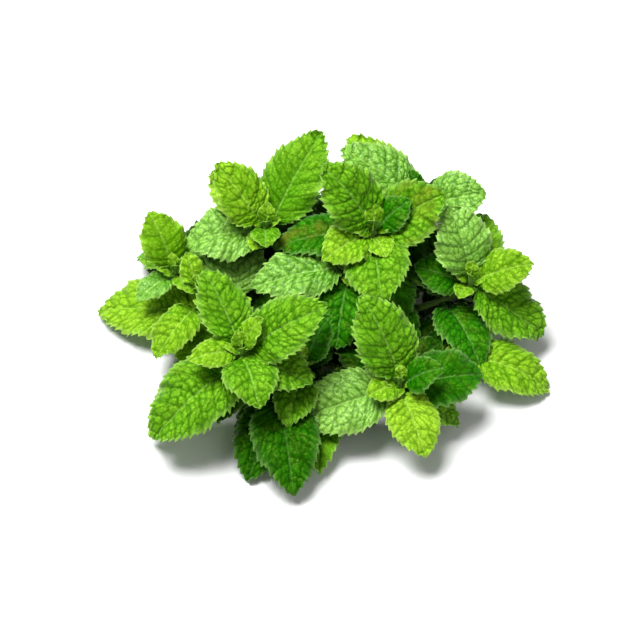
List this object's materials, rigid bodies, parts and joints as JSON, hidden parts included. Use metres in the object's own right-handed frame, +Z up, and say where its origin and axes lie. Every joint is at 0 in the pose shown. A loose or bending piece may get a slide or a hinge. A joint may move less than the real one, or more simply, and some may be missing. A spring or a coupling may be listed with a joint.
{
  "type": "mint sprig",
  "caption": "Cut mint sprig lying down: a square main stem with side shoots and pairs of broad, quilted, toothed leaves.",
  "frame": {"origin": "point on the flat underside of the main stem, where it rests on the surface", "axes": "+Z up, away from the surface the sprig lies on; the main stem runs along Y with its cut end at +Y and its growing end at -Y; +X to the right seen from the growing end"},
  "size_m": [0.2068, 0.1772, 0.0825],
  "materials": {
    "leaf_mid": "satin, quilted, mid green full-grown leaf",
    "leaf_dark": "satin, quilted, dark green shaded leaf",
    "leaf_pale": "satin, quilted, leaf with a pale bluish bloom",
    "leaf_young": "satin, quilted, bright yellow-green young leaf",
    "stem": "satin, fresh green stem with four ribs"
  },
  "bodies": {
    "root": {"back_left_leaf_a": "leaf_young", "back_left_leaf_b": "leaf_young", "back_left_leaf_c": "leaf_mid", "back_left_leaf_d": "leaf_pale", "back_left_leaf_f": "leaf_mid", "back_left_leaf_k": "leaf_mid", "back_right_leaf_a": "leaf_pale", "back_right_leaf_b": "leaf_young", "back_right_leaf_d": "leaf_pale", "back_right_leaf_k": "leaf_mid", "centre_leaf_a": "leaf_mid", "centre_leaf_b": "leaf_mid", "centre_leaf_c": "leaf_young", "centre_leaf_d": "leaf_mid", "centre_leaf_e": "leaf_dark", "centre_leaf_g": "leaf_dark", "centre_leaf_h": "leaf_dark", "far_left_leaf_a": "leaf_young", "far_left_leaf_b": "leaf_mid", "far_left_leaf_c": "leaf_pale", "far_left_leaf_k": "leaf_mid", "front_left_leaf_a": "leaf_mid", "front_left_leaf_b": "leaf_mid", "front_left_leaf_c": "leaf_mid", "front_left_leaf_d": "leaf_young", "front_left_leaf_e": "leaf_young", "front_left_leaf_f": "leaf_mid", "front_left_leaf_g": "leaf_young", "front_left_leaf_h": "leaf_mid", "front_right_leaf_a": "leaf_mid", "front_right_leaf_b": "leaf_dark", "front_right_leaf_c": "leaf_pale", "front_right_leaf_d": "leaf_young", "front_right_leaf_e": "leaf_young", "front_right_leaf_f": "leaf_dark", "front_right_leaf_g": "leaf_mid", "heart_leaf_a": "leaf_pale", "heart_leaf_b": "leaf_dark", "heart_leaf_m": "leaf_dark", "left_leaf_a": "leaf_young", "left_leaf_b": "leaf_young", "left_leaf_d": "leaf_young", "left_leaf_f": "leaf_young", "low_front_leaf_a": "leaf_dark", "low_front_leaf_b": "leaf_dark", "low_right_leaf_b": "leaf_young", "mid_left_leaf_a": "leaf_pale", "mid_left_leaf_b": "leaf_pale", "mid_left_leaf_h": "leaf_dark", "right_leaf_a": "leaf_pale", "right_leaf_b": "leaf_mid", "right_leaf_c": "leaf_young", "right_leaf_d": "leaf_mid", "right_leaf_e": "leaf_dark", "right_leaf_g": "leaf_dark", "right_leaf_k": "leaf_mid", "stem": "stem", "tip_leaf_b": "leaf_dark", "tip_leaf_c": "leaf_mid", "tip_leaf_d": "leaf_mid"}
  },
  "joints": []
}
